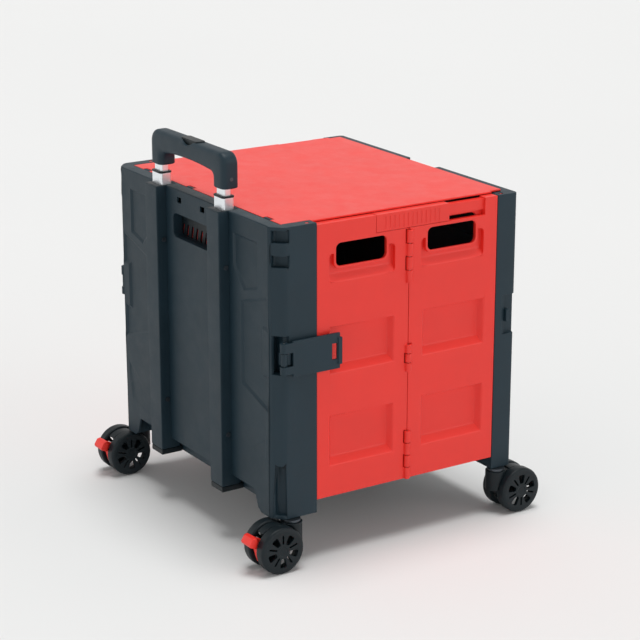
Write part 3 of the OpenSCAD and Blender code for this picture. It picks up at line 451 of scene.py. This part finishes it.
for name in NODES:
    dress(NODES[name], SLOT[name])
for name, radius in EDGE_RADII.items():
    moulded(name, radius * MM)
moulded("handle_shell", 0.6 * MM, wide=[(shell_corner, 3.0 * MM, 4), (shell_rim, 1.8 * MM, 3)],
        recess=[(Y, -1, FACE_Y, 3.4 * MM)], slopes=[(Y, 1.2 * MM, 2)])
moulded("far_shell", 0.6 * MM, recess=[(Y, 1, FAR_Y, 3.0 * MM)], slopes=[(Y, 1.2 * MM, 2)])
for name in ("left_front_panel", "right_front_panel", "left_back_panel", "right_back_panel"):
    moulded(name, 0.5 * MM, slopes=[(X, 1.7 * MM, 3)])


# ---------- grip ----------

def solid(name, verts, faces):
    """A closed mesh object, with its faces turned outward."""
    mesh = bpy.data.meshes.new(name)
    mesh.from_pydata(verts, [], faces)
    bm = bmesh.new()
    bm.from_mesh(mesh)
    bmesh.ops.recalc_face_normals(bm, faces=bm.faces)
    bm.to_mesh(mesh)
    bm.free()
    return placed(name, mesh)


def lofted(name, rings):
    """A closed solid through rings of points, with flat ends."""
    n = len(rings[0])
    faces = [[i * n + j, i * n + (j + 1) % n, (i + 1) * n + (j + 1) % n, (i + 1) * n + j]
             for i in range(len(rings) - 1) for j in range(n)]
    last = (len(rings) - 1) * n
    faces += [list(range(n)), list(range(last, last + n))]
    return solid(name, [point for ring in rings for point in ring], faces)


def prism(name, outline, axis, start, end):
    """A closed prism: outline in the two axes across, from start to end along axis."""
    across = [k for k in range(3) if k != axis]
    rings = []
    for level in (start, end):
        ring = []
        for u, v in outline:
            point = [0.0, 0.0, 0.0]
            point[across[0]], point[across[1]], point[axis] = u, v, level
            ring.append(point)
        rings.append(ring)
    return lofted(name, rings)


def rounded(low, high, play, radius, steps=6):
    """Outline in X and Y of a box with rounded corners, larger by play on every side."""
    cx, cy = (low.x + high.x) / 2, (low.y + high.y) / 2
    hx, hy = (high.x - low.x) / 2 + play - radius, (high.y - low.y) / 2 + play - radius
    points = []
    for sx, sy, first in ((1, 1, 0), (-1, 1, 90), (-1, -1, 180), (1, -1, 270)):
        for i in range(steps + 1):
            a = math.radians(first + 90 * i / steps)
            points.append((cx + sx * hx + radius * math.cos(a), cy + sy * hy + radius * math.sin(a)))
    return points


def half_grip(half_w, top, foot):
    """Pairs of outer and inner points (x, z) from the middle of the bar to the foot of one leg."""
    under, inner_x = top - GRIP_BAR, half_w - GRIP_LEG - GRIP_BEND
    pairs = []
    for i in range(BAR_STEPS + 1):
        u = i / BAR_STEPS
        pairs.append(((u * (half_w - GRIP_CORNER), top), (u * inner_x, under + GRIP_ARCH * (1 - u * u))))
    for i in range(1, CORNER_STEPS + 1):
        a = math.radians(90 * i / CORNER_STEPS)
        pairs.append(((half_w - GRIP_CORNER * (1 - math.sin(a)), top - GRIP_CORNER * (1 - math.cos(a))),
                      (inner_x + GRIP_BEND * math.sin(a), under - GRIP_BEND * (1 - math.cos(a)))))
    for i in range(1, LEG_STEPS + 1):
        u = i / LEG_STEPS
        pairs.append(((half_w, (top - GRIP_CORNER) * (1 - u) + foot * u),
                      (half_w - GRIP_LEG, (under - GRIP_BEND) * (1 - u) + foot * u)))
    return pairs


def section(outer, inner, mid_y, half_d, size, drop):
    """One ring of the grip between an outer and an inner point, as a superellipse."""
    mx, mz = (outer[0] + inner[0]) / 2, (outer[1] + inner[1]) / 2
    hx, hz = (outer[0] - inner[0]) / 2, (outer[1] - inner[1]) / 2
    ring = []
    for j in range(GRIP_SIDES):
        a = 2 * math.pi * j / GRIP_SIDES
        c = math.copysign(abs(math.cos(a)) ** (2 / GRIP_POWER), math.cos(a))
        s = math.copysign(abs(math.sin(a)) ** (2 / GRIP_POWER), math.sin(a))
        ring.append((mx + size * hx * c, mid_y + size * half_d * s, mz + size * hz * c - drop))
    return ring


def grip_cutters(low, high, mid_y):
    """Closed solids that cut the button's pocket, the thumb scoop and the two tube sockets."""
    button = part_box("release_button")
    arc = []
    for i in range(SCOOP_SIDES):
        a = 2 * math.pi * i / SCOOP_SIDES
        arc.append((SCOOP_RADIUS * math.cos(a), high.z + SCOOP_RISE + SCOOP_RADIUS * math.sin(a)))
    cutters = [
        prism("button_pocket", rounded(*button, BUTTON_PLAY, POCKET_CORNER), Z,
              high.z - POCKET_DEPTH, high.z + CUT_PAST),
        prism("thumb_scoop", arc, Y, low.y - CUT_PAST, mid_y - SCOOP_LAND),
    ]
    for side in ("upper_tube_left", "upper_tube_right"):
        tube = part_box(side)
        cutters.append(prism(side + "_socket", rounded(*tube, TUBE_PLAY, TUBE_CORNER), Z,
                             low.z - CUT_PAST, tube[1].z + TUBE_END_PLAY))
    return cutters


def grip():
    """The grip as a soft moulding: a rounded section swept round the bar and down both legs."""
    low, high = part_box("handle_grip")
    mid_y, half_d = (low.y + high.y) / 2, (high.y - low.y) / 2
    right = half_grip(high.x, high.z, low.z + LEG_END[-1][1])
    path = [((-outer[0], outer[1]), (-inner[0], inner[1])) for outer, inner in right[:0:-1]] + right
    stations = [(pair, *LEG_END[0]) for pair in path]
    stations[:1] = [(path[0], *end) for end in LEG_END[::-1]]
    stations[-1:] = [(path[-1], *end) for end in LEG_END]
    obj = lofted("handle_grip_skin", [section(*pair, mid_y, half_d, size, drop)
                                      for pair, size, drop in stations])
    cutters = grip_cutters(low, high, mid_y)
    for cutter in cutters:
        cut = obj.modifiers.new(cutter.name, "BOOLEAN")
        cut.operation = "DIFFERENCE"
        cut.solver = "EXACT"
        cut.object = cutter
    obj.modifiers.new("small_faces", "TRIANGULATE").min_vertices = 5
    break_edges(obj, GRIP_EDGE, GRIP_CORNER_ANGLE)
    shade(obj, GRIP_CRISP_ANGLE)
    for cutter in cutters:
        bpy.data.objects.remove(cutter)
    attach(obj, BODY["handle_grip"])
    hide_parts("handle_grip")
    dress(obj, SLOT["handle_grip"])


grip()
moulded("release_button", 0.6 * MM)


# ---------- studio ----------

def floor():
    """A wide, matt, nearly white floor."""
    m = Shading("studio_floor")
    paint = m.mix(m.noise(scale=0.8, detail=2, rough=0.5), FLOOR_DARK, FLOOR_LIGHT)
    mesh = bpy.data.meshes.new("studio_floor")
    corners = [(x * FLOOR_HALF, y * FLOOR_HALF, 0) for x, y in ((-1, -1), (1, -1), (1, 1), (-1, 1))]
    mesh.from_pydata(corners, [], [(0, 1, 2, 3)])
    obj = placed("studio_floor", mesh)
    mesh.materials.append(m.finish(paint, Roughness=0.9, Specular_IOR_Level=0.1))


def air():
    """Soft light from all round; the studio's walls are brighter than its ceiling."""
    world = bpy.data.worlds.new("studio_air")
    bpy.context.scene.world = world
    world.use_nodes = True
    tree = world.node_tree
    background = tree.nodes["Background"]
    background.inputs["Color"].default_value = AIR
    coord = tree.nodes.new("ShaderNodeTexCoord")
    parts = tree.nodes.new("ShaderNodeSeparateXYZ")
    rise = tree.nodes.new("ShaderNodeMapRange")
    rise.inputs["From Min"].default_value = WALL_END
    rise.inputs["From Max"].default_value = CEILING_START
    rise.inputs["To Min"].default_value = WALL_LIGHT
    rise.inputs["To Max"].default_value = CEILING_LIGHT
    tree.links.new(coord.outputs["Generated"], parts.inputs[0])
    tree.links.new(parts.outputs["Z"], rise.inputs["Value"])
    tree.links.new(rise.outputs["Result"], background.inputs["Strength"])


def sun(name, towards, power, spread, colour):
    """A sun that stands in the direction towards, spread degrees wide."""
    light = bpy.data.lights.new(name, "SUN")
    light.energy = power
    light.angle = math.radians(spread)
    light.color = colour
    obj = placed(name, light)
    obj.rotation_euler = Vector(towards).to_track_quat("Z", "Y").to_euler()


def camera():
    """The camera of the reference view."""
    data = bpy.data.cameras.new("camera")
    data.lens = LENS
    data.sensor_width = SENSOR
    obj = placed("camera", data)
    a, e = math.radians(AZIMUTH), math.radians(ELEVATION)
    back = Vector((math.sin(a) * math.cos(e), -math.cos(a) * math.cos(e), math.sin(e)))
    right = Vector((math.cos(a), math.sin(a), 0))
    up = back.cross(right)
    turn = Matrix((right, up, back)).transposed()
    obj.matrix_world = Matrix.Translation(CAMERA_PLACE) @ turn.to_4x4()
    bpy.context.scene.camera = obj


floor()
air()
sun("key_sun", towards=(0.02, 0.04, 1.4), power=2.25, spread=30, colour=(1.0, 0.99, 0.97))
sun("side_sun", towards=(1.0, 0.60, 0.42), power=0.32, spread=40, colour=(1.0, 0.98, 0.96))
camera()
bpy.context.scene.view_settings.view_transform = "Standard"
